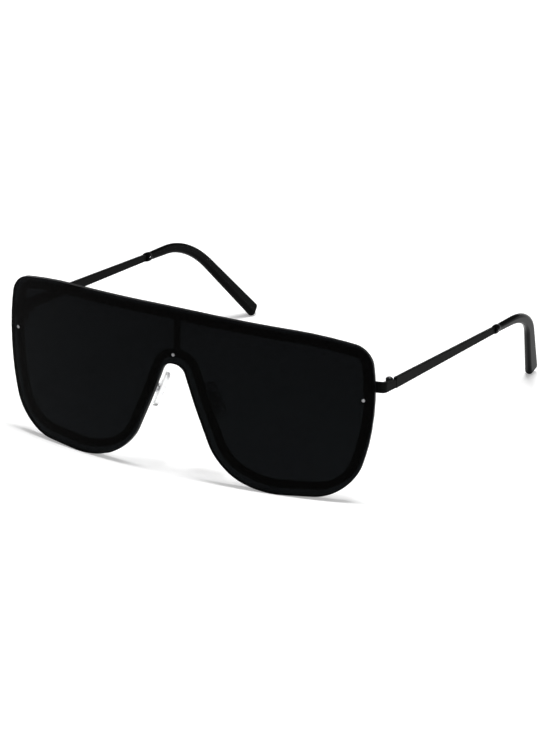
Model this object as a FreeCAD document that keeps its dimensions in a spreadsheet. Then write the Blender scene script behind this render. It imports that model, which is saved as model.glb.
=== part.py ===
"""Oversized shield sunglasses: one curved lens on a thin rim, hinged temples and rocking nose pads.

Everything is drawn in the front's own frame, from the foot of the lens's middle: X to the wearer's left,
Y back from the lens and Z up its height. The stance then leans that frame back and stands the part on the
lens's two lobes and the two ear tips. The left side is drawn, and the right side is its mirror image.
"""
import FreeCAD
import Part
import Sketcher
import math
import os
import re

from FreeCAD import Placement, Rotation, Vector

SIZES = [
    # the lens and how the part stands
    ("lens_width", 143.8, "width across the lens, straight from side to side"),
    ("lens_height", 59.1, "height of the lens at its middle"),
    ("lens_radius", 241.7, "radius of the lens's front face"),
    ("lens_thickness", 1.6, "thickness of the lens"),
    ("lens_tilt_angle", 3.1, "lean of the lens, top to the back"),
    ("front_reach", 73.25, "from the part's middle forward to the lens"),
    ("stand_lift", 0.262, "the lens's foot line above the lobes' lowest points"),
    ("overrun", 2, "how far a cutting shape runs past what it cuts"),
    # the rim
    ("rim_inset", 2.0, "from the lens's edge in to the rim"),
    ("rim_band", 2.6, "width of the rim's band"),
    ("rim_thickness", 1.4, "thickness of the rim"),
    ("rim_seat_gap", 0.05, "between the lens and the rim"),
    ("bar_width", 2.0, "width of the centre bar"),
    # the lens screws
    ("lens_screw_radius", 0.4, "shank of a lens screw"),
    ("lens_screw_head_radius", 0.6, "head of a lens screw"),
    ("lens_screw_head_height", 0.35, "height of that head"),
    ("lens_screw_inset", 3.6, "side screws, in from the lens's widest point"),
    ("fit_clearance", 0.03, "around a shank in its hole"),
    ("seat_clearance", 0.03, "between a strip or wire and the rim that it is soldered to"),
    # the hinge
    ("hinge_inset", 0.9, "hinge axis, in from the lens's widest point"),
    ("leg_length", 8.67, "hinge axis, back from where the end piece touches the rim"),
    ("hinge_offset", 1.4, "from the hinge axis out to the strips"),
    ("barrel_radius", 1.25, "hinge barrel"),
    ("barrel_height", 3.0, "hinge barrel"),
    ("knuckle_gap", 0.06, "between the hinge's knuckles"),
    ("hinge_screw_radius", 0.5, "shank of a hinge screw"),
    ("hinge_screw_head_radius", 0.95, "head of a hinge screw"),
    ("hinge_screw_head_height", 0.4, "height of that head"),
    ("plate_thickness", 0.6, "hinge plates"),
    ("plate_length", 4.5, "hinge plates, from the axis"),
    ("plate_clearance", 0.3, "between a hinge plate and the other half's barrel"),
    # the end piece and the temple arm
    ("strip_thickness", 1.25, "thickness of the end piece and the arm"),
    ("bend_radius", 1.9, "outer radius of the end piece's bend"),
    ("tab_lap", 2.2, "end piece's lap on the rim, inward from where it touches"),
    ("tab_height", 3.7, "height of the end piece behind the lens"),
    ("joint_back", 0.2, "rear end of the end piece, behind the hinge axis"),
    ("joint_gap", 0.15, "between the end piece and the open arm"),
    ("arm_length", 70.5, "rear end of the arm's visible strip, from the hinge axis"),
    ("arm_front_height", 3.85, "arm at the hinge"),
    ("arm_rear_height", 2.4, "arm at the ear tip"),
    ("arm_rise", 0.2, "middle of the arm's front end above the barrel's middle"),
    ("arm_slope_angle", 1.05, "fall of the arm towards the ear, from square to the hinge axis"),
    ("arm_toe_angle", 2.35, "turn of the arm towards the head"),
    ("arm_edge_round", 0.25, "rounding of the arm's long edges"),
    ("core_length", 11.0, "arm's core inside the ear tip"),
    ("core_height", 1.2, "arm's core"),
    ("core_thickness", 0.8, "arm's core"),
    ("core_clearance", 0.05, "around the core"),
    # the ear tip
    ("tip_straight", 12.4, "ear tip, from its mouth to the bend"),
    ("tip_bend_radius", 28.0, "ear tip's bend"),
    ("tip_bend_angle", 50, "ear tip's bend"),
    ("tip_drop_length", 27.6, "ear tip, from the bend to its rounded end"),
    ("tip_tilt_angle", 21.1, "lean of the tip's bend towards the head"),
    ("tip_mouth_width", 2.75, "ear tip behind its mouth"),
    ("tip_mouth_thickness", 2.1, "ear tip behind its mouth"),
    ("tip_end_width", 5.1, "ear tip at its end"),
    ("tip_end_thickness", 2.9, "ear tip at its end"),
    ("tip_end_round", 1.0, "rounding of the tip's end"),
    ("bead_swell", 0.45, "how much wider the swollen mouth is"),
    ("bead_length", 2.8, "length of the swollen mouth"),
    ("pin_radius", 0.3, "pin through the swollen mouth"),
    ("pin_stand", 0.05, "how far the pin's ends stand out"),
    # the nose pads
    ("pad_back", 7.8, "pad box's wire end, back from the lens"),
    ("pad_slant_angle", 24, "lean of the pads, tops together"),
    ("pad_splay_angle", 30, "turn of the pads, backs apart"),
    ("wire_radius", 0.45, "pad arm's wire"),
    ("wire_rise", 3.5, "top of the pad arm above the box's middle"),
    ("wire_bend", 1.6, "pad arm's bend"),
    ("box_width", 2.4, "pad box"),
    ("box_height", 2.4, "pad box"),
    ("box_back", 0.7, "pad box's back, from the wire's axis"),
    ("box_front", 1.6, "pad box's front, from the wire's axis"),
    ("slot_floor", 0.2, "bottom of the box's slot, from the wire's axis"),
    ("slot_width", 1.2, "slot in the pad box"),
    ("pivot_out", 0.95, "pad's pivot, from the wire's axis"),
    ("pivot_radius", 0.35, "shank of a pad screw"),
    ("pivot_head_radius", 0.6, "head of a pad screw"),
    ("pivot_head_height", 0.35, "height of that head"),
    ("lug_radius", 0.65, "insert's lug round its hole"),
    ("lug_thickness", 1.0, "insert's lug"),
    ("pad_stand", 0.3, "between the box and the pad"),
    ("pad_length", 13.0, "nose pad"),
    ("pad_width", 7.2, "nose pad at its wide lower end"),
    ("pad_thickness", 1.8, "nose pad"),
    ("pad_edge_round", 0.8, "rounding of the pad's face"),
    ("insert_length", 6.0, "insert's plate"),
    ("insert_width", 2.6, "insert's plate"),
    ("insert_thickness", 0.5, "insert's plate"),
]

# heights as shares of the lens's height, and the pad arms' place as a share of half its width
NOSE_HEIGHT_SHARE = 0.6634
HINGE_HEIGHT_SHARE = 0.684
LENS_SCREW_HEIGHT_SHARE = 0.6235
PAD_HEIGHT_SHARE = 0.4545
PAD_OUT_SHARE = 0.173

# sizes that follow from the ones above
WORKED_OUT = {
    "nose_height": f"lens_height * {NOSE_HEIGHT_SHARE}",
    "hinge_height": f"lens_height * {HINGE_HEIGHT_SHARE}",
    "lens_screw_height": f"lens_height * {LENS_SCREW_HEIGHT_SHARE}",
    "pad_height": f"lens_height * {PAD_HEIGHT_SHARE}",
    "pad_out": f"half_lens * {PAD_OUT_SHARE}",
    "hinge_out": "half_lens - hinge_inset",
    "hinge_back": "touch_back + leg_length",
    "half_lens": "lens_width / 2",
    "blank_depth": "half_lens",
    "rim_front_radius": "lens_radius - lens_thickness - rim_seat_gap",
    "rim_back_radius": "rim_front_radius - rim_thickness",
    "rim_middle": "rim_inset + rim_band / 2",
    "knuckle_height": "(barrel_height - 2 * knuckle_gap) / 3",
    "strip_out": "hinge_offset + strip_thickness",
    "arm_middle": "hinge_offset + strip_thickness / 2",
    "touch_out": "half_lens - rim_middle",
    "touch_angle": "asin(touch_out / rim_back_radius)",
    "touch_back": "lens_radius - rim_back_radius * cos(touch_angle) + seat_clearance",
    "tab_inner": "touch_out - tab_lap - hinge_out",
    "tip_bend_reach": "tip_bend_radius * tan(tip_bend_angle / 2)",
    "tip_corner": "tip_straight + tip_bend_reach",
    "tip_run": "tip_corner + (tip_bend_reach + tip_drop_length) * cos(tip_bend_angle)",
    "tip_fall": "(tip_bend_reach + tip_drop_length) * sin(tip_bend_angle)",
    "root_out": "pad_out - wire_rise * sin(pad_slant_angle)",
    "root_back": "lens_radius - sqrt(rim_back_radius ^ 2 - root_out ^ 2) + seat_clearance - pad_back",
    "pad_face_back": "box_front + pad_stand",
}

# the right half of the lens's outline, from its top middle down to the nose arch: each corner's place as
# shares of half the width and of the height, and how much of the shorter side beside it its rounding takes
LENS_CORNER_SHARES = [
    (0.7459, 0.9774, 0.4995),
    (0.9817, 0.9244, 0.3315),
    (1.0213, 0.5308, 0.6350),
    (0.9006, 0.0349, 0.4138),
    (0.4838, -0.0079, 0.3182),
    (0.2490, 0.0809, 0.5397),
    (0.1187, 0.4417, 0.2199),
]
TOP_ROUND_SHARE = 0.1828
ARCH_CORNER_SHARE = 0.049
ARCH_ROUND_SHARE = 0.4125

# where sections stand along the ear tip's swollen mouth with how much they swell, and along its rounded end
# with how much they draw in
BEAD_SHARES = [(0.0, 0.1), (0.25, 1.0), (0.7, 1.0), (1.0, 0.0)]
END_CAP_SHARES = [(0.0, 0.0), (0.38, 0.075), (0.71, 0.293), (0.92, 0.617), (1.0, 0.9)]
# the ear tip's section: how much of its thickness a corner takes, and the corner's points as shares of that
SECTION_ROUND_SHARE = 0.42
ROUND_POINT_SHARES = [(1.0, 0.0), (0.73, 0.73), (0.0, 1.0)]
# sections round the ear tip's bend and round the pad arm's
BEND_STATIONS = 6
WIRE_STATIONS = 4

# how wide a screw head is at its top
HEAD_TOP_SHARE = 0.78

# the nose pad's corners: across and rounding as shares of its width, along as a share of its length
PAD_CORNER_SHARES = [(0.36, 0.5, 0.3), (0.5, -0.5, 0.44)]
# the pad's levels from its back to its face, with how much of its edge rounding each draws in
PAD_LEVEL_SHARES = [(0.0, 0.35), (0.25, 0.0), (0.7, 0.1), (1.0, 1.0)]

doc = FreeCAD.newDocument("shield_sunglasses")
sizes = doc.addObject("Spreadsheet::Sheet", "sizes")
for row, (size_name, size_value, meaning) in enumerate(SIZES, start=1):
    sizes.set(f"A{row}", meaning)
    sizes.set(f"B{row}", str(size_value))
    sizes.setAlias(f"B{row}", size_name)
doc.recompute()
DRIVING = {size_name for size_name, _, _ in SIZES}
nodes = []


def formula(text):
    """Writes out a formula of size names for the sheet."""
    def written_out(word):
        name = word.group()
        if name in WORKED_OUT:
            return "(" + formula(WORKED_OUT[name]) + ")"
        return "sizes." + name if name in DRIVING else name
    return re.sub(r"[a-z][a-z_]*", written_out, text)


def amount(text):
    """The value of a formula of size names."""
    return float(sizes.evalExpression(formula(text)))


def bind(thing, **formulas):
    """Ties properties of an object to the sheet."""
    for name, text in formulas.items():
        thing.setExpression(name, formula(text))


def primitive(kind, name, at, **dimensions):
    """A box, cylinder or cone whose sizes and corner or foot are tied to the sheet."""
    thing = doc.addObject("Part::" + kind, name)
    bind(thing, **dimensions)
    for axis, text in zip("xyz", at):
        thing.setExpression("Placement.Base." + axis, formula(text))
    return thing


def fused(name, *pieces):
    thing = doc.addObject("Part::MultiFuse", name)
    thing.Shapes = list(pieces)
    thing.Refine = True
    return thing


def boolean(kind, name, base, tool):
    thing = doc.addObject("Part::" + kind, name)
    thing.Base = base
    thing.Tool = tool
    return thing


def extrusion(name, profile, ahead, behind="0"):
    """A solid from a closed outline, along the outline's normal and back."""
    thing = doc.addObject("Part::Extrusion", name)
    thing.Base = profile
    thing.DirMode = "Normal"
    thing.Solid = True
    bind(thing, LengthFwd=ahead, LengthRev=behind)
    return thing


def loft(name, sections):
    """A solid through sections, straight from each to the next."""
    thing = doc.addObject("Part::Loft", name)
    thing.Sections = sections
    thing.Solid = True
    thing.Ruled = True
    return thing


def rounded(name, base, radius, chosen):
    """Rounds the edges of a solid that a test chooses."""
    doc.recompute()
    thing = doc.addObject("Part::Fillet", name)
    thing.Base = base
    picked = [i for i, edge in enumerate(base.Shape.Edges, start=1) if chosen(edge)]
    thing.Edges = [(i, amount(radius), amount(radius)) for i in picked]
    return thing


def outline(name, corners, place=Placement()):
    """A sketch through corners, each rounded by a tangent arc or left sharp where its radius is 0."""
    sketch = doc.addObject("Sketcher::SketchObject", name)
    sketch.Placement = place
    points = [Vector(amount(across), amount(along), 0) for across, along, _ in corners]
    arcs = {}
    entries = list(points)
    exits = list(points)
    for i, (_, _, radius_text) in enumerate(corners):
        radius = amount(radius_text)
        if radius == 0:
            continue
        here = points[i]
        back = (points[i - 1] - here).normalize()
        onward = (points[(i + 1) % len(points)] - here).normalize()
        half_angle = back.getAngle(onward) / 2
        reach = radius / math.tan(half_angle)
        entries[i] = here + back * reach
        exits[i] = here + onward * reach
        centre = here + (back + onward).normalize() * (radius / math.sin(half_angle))
        turns_left = onward.cross(back).z > 0
        first, last = (entries[i], exits[i]) if turns_left else (exits[i], entries[i])
        start = math.atan2(first.y - centre.y, first.x - centre.x)
        end = math.atan2(last.y - centre.y, last.x - centre.x)
        circle = Part.Circle(centre, Vector(0, 0, 1), radius)
        arc = sketch.addGeometry(Part.ArcOfCircle(circle, start, end + (2 * math.pi if end < start else 0)))
        arcs[i] = (arc, 1 if turns_left else 2, 2 if turns_left else 1)
    into = {}
    out_of = {}
    for i in range(len(points)):
        following = (i + 1) % len(points)
        line = sketch.addGeometry(Part.LineSegment(exits[i], entries[following]))
        out_of[i] = line
        into[following] = line
    for i, (across, along, radius_text) in enumerate(corners):
        pin = sketch.addGeometry(Part.Point(points[i]), True)
        place_across = sketch.addConstraint(Sketcher.Constraint("DistanceX", -1, 1, pin, 1, points[i].x))
        place_along = sketch.addConstraint(Sketcher.Constraint("DistanceY", -1, 1, pin, 1, points[i].y))
        bind(sketch, **{f"Constraints[{place_across}]": across, f"Constraints[{place_along}]": along})
        if i in arcs:
            arc, entry_end, exit_end = arcs[i]
            sketch.addConstraint(Sketcher.Constraint("Tangent", into[i], 2, arc, entry_end))
            sketch.addConstraint(Sketcher.Constraint("Tangent", arc, exit_end, out_of[i], 1))
            sketch.addConstraint(Sketcher.Constraint("PointOnObject", pin, 1, into[i]))
            sketch.addConstraint(Sketcher.Constraint("PointOnObject", pin, 1, out_of[i]))
            bend = sketch.addConstraint(Sketcher.Constraint("Radius", arc, amount(radius_text)))
            bind(sketch, **{f"Constraints[{bend}]": radius_text})
            continue
        sketch.addConstraint(Sketcher.Constraint("Coincident", into[i], 2, pin, 1))
        sketch.addConstraint(Sketcher.Constraint("Coincident", out_of[i], 1, pin, 1))
    return sketch


def turned(axis, angle):
    return Placement(Vector(), Rotation(axis, angle))


def moved(across, back, up):
    return Placement(Vector(amount(across), amount(back), amount(up)), Rotation())


ACROSS, BACK, UP = Vector(1, 0, 0), Vector(0, 1, 0), Vector(0, 0, 1)
UPRIGHT = turned(ACROSS, 90)
SIDEWAYS = Placement(Vector(), Rotation(BACK, UP, ACROSS, "ZXY"))
lens_foot = moved("0", "-front_reach", "lens_thickness * sin(lens_tilt_angle) + stand_lift")
stance = lens_foot * turned(ACROSS, -amount("lens_tilt_angle"))
hinge = stance * moved("hinge_out", "hinge_back", "hinge_height")
temple = hinge * turned(UP, amount("arm_toe_angle"))
arm_line = temple * moved("0", "0", "arm_rise") * turned(ACROSS, -amount("arm_slope_angle"))
wire_end = stance * moved("pad_out", "pad_back", "pad_height") * turned(BACK, -amount("pad_slant_angle"))
pad = wire_end * turned(UP, 90 - amount("pad_splay_angle"))


def finish(label, thing, place):
    """Names a sub-part and stands it in its place."""
    thing.Label = label
    thing.Placement = place
    nodes.append(thing)
    return thing


def finish_pair(label, thing, place):
    """Stands a left sub-part in its place and mirrors it for the right side."""
    finish(label + "_left", thing, place)
    twin = doc.addObject("Part::Mirroring", label + "_right")
    twin.Source = thing
    twin.Normal = ACROSS
    twin.Label = label + "_right"
    nodes.append(twin)


def rounding(points, i, share):
    """The radius of a corner whose rounding takes a share of the shorter side beside it."""
    back = points[i - 1] - points[i]
    onward = points[(i + 1) % len(points)] - points[i]
    return share * min(back.Length, onward.Length) * math.tan(back.getAngle(onward) / 2)


def lens_corners():
    """The whole lens outline, clockwise from its top middle."""
    half = [(f"half_lens * {x}", f"lens_height * {z}", share) for x, z, share in LENS_CORNER_SHARES]
    half.append((f"half_lens * {ARCH_CORNER_SHARE}", "nose_height", ARCH_ROUND_SHARE))
    other = [("-(" + x + ")", z, share) for x, z, share in reversed(half)]
    corners = [("0", "lens_height", TOP_ROUND_SHARE)] + half + other
    points = [Vector(amount(x), amount(z), 0) for x, z, _ in corners]
    height = amount("lens_height")
    return [(x, z, f"lens_height * {rounding(points, i, share) / height}")
            for i, (x, z, share) in enumerate(corners)]


def curved_wall(name, outer, inner):
    """An upright ring segment about the lens's axis, as tall as the lens."""
    foot = ("0", "lens_radius", "-overrun")
    height = "lens_height + 2 * overrun"
    outside = primitive("Cylinder", name + "_outside", foot, Radius=outer, Height=height)
    inside = primitive("Cylinder", name + "_inside", foot, Radius=inner, Height=height)
    return boolean("Cut", name + "_wall", outside, inside)


def inset(name, distance):
    """The lens's outline drawn in by a distance, as a solid block."""
    drawn_in = doc.addObject("Part::Offset2D", name + "_outline")
    drawn_in.Source = lens_outline
    bind(drawn_in, Value=f"-({distance})")
    return extrusion(name + "_block", drawn_in, "overrun", "blank_depth")


def screw_places():
    """Where the three lens screws enter the lens's front face, each facing out."""
    radius = amount("lens_radius")
    side = math.asin(amount("half_lens - lens_screw_inset") / radius)
    for side_name, angle, height in (("left", side, "lens_screw_height"),
                                     ("right", -side, "lens_screw_height"),
                                     ("centre", 0, "nose_height + rim_middle")):
        out = Vector(math.sin(angle), -math.cos(angle), 0)
        foot = Vector(radius * math.sin(angle), radius - radius * math.cos(angle), amount(height))
        yield side_name, Placement(foot, Rotation(UP, out))


def screw_holes(name):
    """The three lens screws' holes, through the lens and the rim."""
    holes = []
    for side_name, place in screw_places():
        hole = doc.addObject("Part::Cylinder", f"{name}_hole_{side_name}")
        bind(hole, Radius="lens_screw_radius + fit_clearance", Height="2 * overrun + blank_depth")
        hole.Placement = place * moved("0", "0", "-blank_depth")
        holes.append(hole)
    return fused(name + "_holes", *holes)


def make_lens():
    """One curved shield, cut to the outline and drilled for its screws."""
    block = extrusion("lens_block", lens_outline, "overrun", "blank_depth")
    wall = curved_wall("lens", "lens_radius", "lens_radius - lens_thickness")
    shield = boolean("Common", "lens_shield", wall, block)
    finish("shield_lens", boolean("Cut", "lens_drilled", shield, screw_holes("lens")), stance)


def make_rim():
    """A thin rim behind the lens: a band all round, two eye openings and the bar between them."""
    wall = curved_wall("rim", "rim_front_radius", "rim_back_radius")
    plate = boolean("Common", "rim_plate", wall, inset("rim", "rim_inset"))
    bar = primitive("Box", "rim_bar", ("-bar_width / 2", "-2 * overrun", "0"),
                    Length="bar_width", Width="blank_depth + 4 * overrun", Height="lens_height")
    eyes = boolean("Cut", "rim_eyes", inset("eye", "rim_inset + rim_band"), bar)
    ring = boolean("Cut", "rim_ring", plate, eyes)
    finish("rim_frame", boolean("Cut", "rim_drilled", ring, screw_holes("rim")), stance)


def turned_screw(name, radius, length, head_radius, head_height):
    """A screw along its own axis: a tapered head stands on the foot plane and the shank goes below it."""
    shank = primitive("Cylinder", name + "_shank", ("0", "0", f"-({length})"),
                      Radius=radius, Height=f"{length} + {head_height} / 2")
    head = primitive("Cone", name + "_head", ("0", "0", "0"), Radius1=head_radius,
                     Radius2=f"{head_radius} * {HEAD_TOP_SHARE}", Height=head_height)
    return fused(name, shank, head)


def make_lens_screws():
    """Small silver screws that hold the lens on the rim."""
    for side_name, place in screw_places():
        screw = turned_screw("lens_screw_" + side_name, "lens_screw_radius",
                             "lens_thickness + rim_seat_gap + rim_thickness",
                             "lens_screw_head_radius", "lens_screw_head_height")
        finish("lens_screw_" + side_name, screw, stance * place)


def make_end_piece():
    """A strip that lies on the back of the rim, comes out past the lens and bends back to the hinge."""
    def line(across, behind):
        return f"touch_back - hinge_back + ({across} + hinge_out - touch_out) * tan(touch_angle) + {behind}"

    through = "strip_thickness / cos(touch_angle)"
    corners = [
        ("tab_inner", line("tab_inner", "0"), "0"),
        ("strip_out", line("strip_out", "0"), "bend_radius"),
        ("strip_out", "joint_back", "0"),
        ("hinge_offset", "joint_back", "0"),
        ("hinge_offset", line("hinge_offset", through), "bend_radius - strip_thickness"),
        ("tab_inner", line("tab_inner", through), "0"),
    ]
    strip = extrusion("end_strip", outline("end_plan", corners), "tab_height - barrel_height / 2",
                      "barrel_height / 2")
    step = primitive("Box", "end_step", ("hinge_offset - overrun", line("strip_out", "bend_radius"),
                                         "barrel_height / 2"),
                     Length="strip_thickness + 2 * overrun", Width="hinge_back", Height="tab_height")
    finish_pair("end_piece", boolean("Cut", "end_piece", strip, step), hinge)


def hinge_half(name, levels, way):
    """Knuckles at their levels, with webs to a plate on the strip, ahead of the axis or behind it."""
    pieces = []
    plate_start = "barrel_radius + plate_clearance"
    web_length = f"{plate_start} + plate_thickness"
    web_foot = "0" if way > 0 else f"-({web_length})"
    for i, level in enumerate(levels):
        pieces.append(primitive("Cylinder", f"{name}_knuckle_{i}", ("0", "0", level),
                                Radius="barrel_radius", Height="knuckle_height"))
        pieces.append(primitive("Box", f"{name}_web_{i}", ("0", web_foot, level),
                                Length="hinge_offset", Width=web_length, Height="knuckle_height"))
    plate_foot = plate_start if way > 0 else "-plate_length"
    pieces.append(primitive("Box", name + "_plate",
                            ("hinge_offset - plate_thickness", plate_foot, "-barrel_height / 2"),
                            Length="plate_thickness", Width=f"plate_length - ({plate_start})",
                            Height="barrel_height"))
    bore = primitive("Cylinder", name + "_bore", ("0", "0", "-barrel_height"),
                     Radius="hinge_screw_radius + fit_clearance", Height="2 * barrel_height")
    return boolean("Cut", name, fused(name + "_body", *pieces), bore)


def make_hinge():
    """Two knuckles on the end piece, one on the arm between them, and the screw that they turn on."""
    front_levels = ["-barrel_height / 2", "barrel_height / 2 - knuckle_height"]
    finish_pair("hinge_front", hinge_half("hinge_front", front_levels, -1), hinge)
    finish_pair("hinge_temple", hinge_half("hinge_temple", ["-knuckle_height / 2"], 1), temple)
    screw = turned_screw("hinge_screw", "hinge_screw_radius", "barrel_height",
                         "hinge_screw_head_radius", "hinge_screw_head_height")
    finish_pair("hinge_screw", screw, hinge * moved("0", "0", "barrel_height / 2"))


def make_arm():
    """A flat strip that tapers to the ear, and its core inside the ear tip."""
    corners = [
        ("joint_back + joint_gap", "-arm_front_height / 2", "0"),
        ("arm_length", "-arm_rear_height / 2", "0"),
        ("arm_length", "arm_rear_height / 2", "0"),
        ("joint_back + joint_gap", "arm_front_height / 2", "0"),
    ]
    side = outline("arm_side", corners, SIDEWAYS * moved("0", "0", "hinge_offset"))
    strip = extrusion("arm_strip", side, "strip_thickness")
    soft = rounded("arm_soft", strip, "arm_edge_round", lambda edge: edge.Length > amount("arm_length / 2"))
    core = primitive("Box", "arm_core", ("arm_middle - core_thickness / 2", "arm_length - overrun",
                                         "-core_height / 2"),
                     Length="core_thickness", Width="core_length + overrun", Height="core_height")
    whole = fused("arm_whole", soft, core)
    hole = pin_shape("arm_pin_hole", "pin_radius + fit_clearance")
    finish_pair("temple_arm", boolean("Cut", "temple_arm", whole, hole), arm_line)


def pin_shape(name, radius):
    """A rod across the swollen mouth, from side to side."""
    half = "(tip_mouth_thickness + bead_swell) / 2 + pin_stand"
    rod = doc.addObject("Part::Cylinder", name)
    bind(rod, Radius=radius, Height=f"2 * ({half})")
    rod.Placement = moved(f"arm_middle - ({half})", "arm_length + bead_length / 2", "0") * turned(BACK, 90)
    return rod


def tip_section(name, place, width, thickness, swell="0"):
    """A section across the ear tip, upright in the plane of its bend, its corners rounded in flats."""
    up = f"({width} + {swell}) / 2"
    out = f"({thickness} + {swell}) / 2"
    draw = f"({thickness} + {swell}) * {SECTION_ROUND_SHARE}"
    corners = []
    for i, j in ((1, 1), (-1, 1), (-1, -1), (1, -1)):
        quarter = [(f"{i} * ({up} - {draw} * (1 - {x}))", f"{j} * ({out} - {draw} * (1 - {y}))", "0")
                   for x, y in ROUND_POINT_SHARES]
        corners += quarter if i == j else quarter[::-1]
    return outline(name, corners, place * Placement(Vector(), Rotation(UP, Vector(), BACK, "ZXY")))


def tip_sections(start, end_place):
    """Sections from the ear tip's mouth round its bend to its end, evenly wider along the way."""
    angle = math.radians(amount("tip_bend_angle"))
    radius = amount("tip_bend_radius")
    straight = amount("tip_straight")
    length = straight + radius * angle + amount("tip_drop_length")
    places = [(0, start)]
    for i in range(BEND_STATIONS):
        turn = angle * i / (BEND_STATIONS - 1)
        centre = Vector(0, straight + radius * math.sin(turn), radius * (math.cos(turn) - 1))
        place = start * Placement(centre, Rotation(ACROSS, -math.degrees(turn)))
        places.append(((straight + radius * turn) / length, place))
    places.append((1, end_place))
    return [tip_section(f"tip_section_{i}", place,
                        f"tip_mouth_width + (tip_end_width - tip_mouth_width) * {share}",
                        f"tip_mouth_thickness + (tip_end_thickness - tip_mouth_thickness) * {share}")
            for i, (share, place) in enumerate(places)]


def make_tip():
    """A glossy ear tip: swollen at its mouth, bent down behind the ear, wider and leaning in at its end."""
    start = moved("arm_middle", "arm_length", "0") * turned(BACK, amount("tip_tilt_angle"))
    end_place = start * moved("0", "tip_run", "-tip_fall") * turned(ACROSS, -amount("tip_bend_angle"))
    mouth = [tip_section(f"mouth_section_{i}", start * moved("0", f"bead_length * {share}", "0"),
                         "tip_mouth_width", "tip_mouth_thickness", f"bead_swell * {swell}")
             for i, (share, swell) in enumerate(BEAD_SHARES)]
    end = [tip_section(f"end_section_{i}", end_place * moved("0", f"tip_end_round * {share}", "0"),
                       "tip_end_width", "tip_end_thickness", f"-2 * tip_end_round * {draw}")
           for i, (share, draw) in enumerate(END_CAP_SHARES)]
    whole = fused("tip_whole", loft("tip_bent", tip_sections(start, end_place)), loft("tip_end", end),
                  loft("tip_bead", mouth))
    slot = primitive("Box", "tip_slot", ("arm_middle - core_thickness / 2 - core_clearance",
                                         "arm_length - overrun", "-core_height / 2 - core_clearance"),
                     Length="core_thickness + 2 * core_clearance",
                     Width="core_length + overrun + core_clearance",
                     Height="core_height + 2 * core_clearance")
    hollow = boolean("Cut", "tip_hollow", whole, slot)
    hole = pin_shape("tip_pin_hole", "pin_radius + fit_clearance")
    finish_pair("temple_tip", boolean("Cut", "temple_tip", hollow, hole), arm_line)
    pin = pin_shape("tip_pin", "pin_radius")
    finish_pair("tip_pin", pin, arm_line * pin.Placement)


def make_pad_arm():
    """A wire that leaves the rim straight back and bends down into the pad box."""
    bend = amount("wire_bend")
    places = [moved("0", "root_back", "wire_rise") * UPRIGHT]
    for i in range(WIRE_STATIONS):
        turn = 90 * i / (WIRE_STATIONS - 1)
        reach = Vector(0, bend * math.sin(math.radians(turn)), bend * math.cos(math.radians(turn)))
        centre = moved("0", "-wire_bend", "wire_rise - wire_bend")
        places.append(centre * Placement(reach, Rotation(ACROSS, 90 - turn)))
    places.append(moved("0", "0", "box_height / 2"))
    rings = []
    for i, place in enumerate(places):
        ring = doc.addObject("Part::Circle", f"wire_ring_{i}")
        bind(ring, Radius="wire_radius")
        ring.Placement = place
        rings.append(ring)
    finish_pair("pad_arm", loft("pad_arm", rings), wire_end)


def make_pad_box():
    """A small forked box on the wire's end, and the screw across it that the pad rocks on."""
    block = primitive("Box", "pad_block", ("-box_width / 2", "-box_back", "-box_height / 2"),
                      Length="box_width", Width="box_back + box_front", Height="box_height")
    slot = primitive("Box", "pad_slot", ("-slot_width / 2", "slot_floor", "-box_height"),
                     Length="slot_width", Width="box_front", Height="2 * box_height")
    bore = pivot_rod("pad_bore", "pivot_radius + fit_clearance", "box_width")
    fork = boolean("Cut", "pad_fork", block, slot)
    finish_pair("pad_box", boolean("Cut", "pad_box", fork, bore), pad)
    screw = turned_screw("pad_screw", "pivot_radius", "box_width", "pivot_head_radius", "pivot_head_height")
    place = moved("box_width / 2", "pivot_out", "0") * turned(BACK, 90)
    finish_pair("pad_screw", screw, pad * place)


def pivot_rod(name, radius, half):
    """A rod along the pad's pivot."""
    rod = doc.addObject("Part::Cylinder", name)
    bind(rod, Radius=radius, Height=f"2 * ({half})")
    rod.Placement = moved(f"-({half})", "pivot_out", "0") * turned(BACK, 90)
    return rod


def pad_corners(draw):
    """The nose pad's outline, drawn in by a distance."""
    (top_across, top_along, top_round), (low_across, low_along, low_round) = PAD_CORNER_SHARES
    top = (f"pad_width * {top_across} - {draw}", f"pad_length * {top_along} - {draw}",
           f"pad_width * {top_round} - {draw}")
    low = (f"pad_width * {low_across} - {draw}", f"pad_length * {low_along} + {draw}",
           f"pad_width * {low_round} - {draw}")
    return [top, low] + [("-(" + across + ")", along, radius) for across, along, radius in (low, top)]


def make_nose_pad():
    """A clear pad, narrower at its top, moulded on a metal insert whose lug sits in the box."""
    levels = []
    for i, (share, draw) in enumerate(PAD_LEVEL_SHARES):
        place = moved("0", f"pad_face_back + pad_thickness * {share}", "0") * UPRIGHT
        levels.append(outline(f"pad_level_{i}", pad_corners(f"pad_edge_round * {draw}"), place))
    cushion = loft("pad_cushion", levels)
    plate_foot = ("-insert_width / 2", "pad_face_back", "-insert_length / 2")
    plate = {"Length": "insert_width", "Width": "insert_thickness", "Height": "insert_length"}
    bed = primitive("Box", "pad_bed", plate_foot, **plate)
    finish_pair("nose_pad", boolean("Cut", "nose_pad", cushion, bed), pad)
    eye = doc.addObject("Part::Cylinder", "lug_eye")
    bind(eye, Radius="lug_radius", Height="lug_thickness")
    eye.Placement = moved("-lug_thickness / 2", "pivot_out", "0") * turned(BACK, 90)
    neck = primitive("Box", "lug_neck", ("-lug_thickness / 2", "pivot_out", "-lug_radius"),
                     Length="lug_thickness", Width="pad_face_back - pivot_out + insert_thickness / 2",
                     Height="2 * lug_radius")
    whole = fused("insert_whole", eye, neck, primitive("Box", "insert_plate", plate_foot, **plate))
    hole = pivot_rod("insert_hole", "pivot_radius + fit_clearance", "box_width")
    finish_pair("pad_insert", boolean("Cut", "pad_insert", whole, hole), pad)


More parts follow.
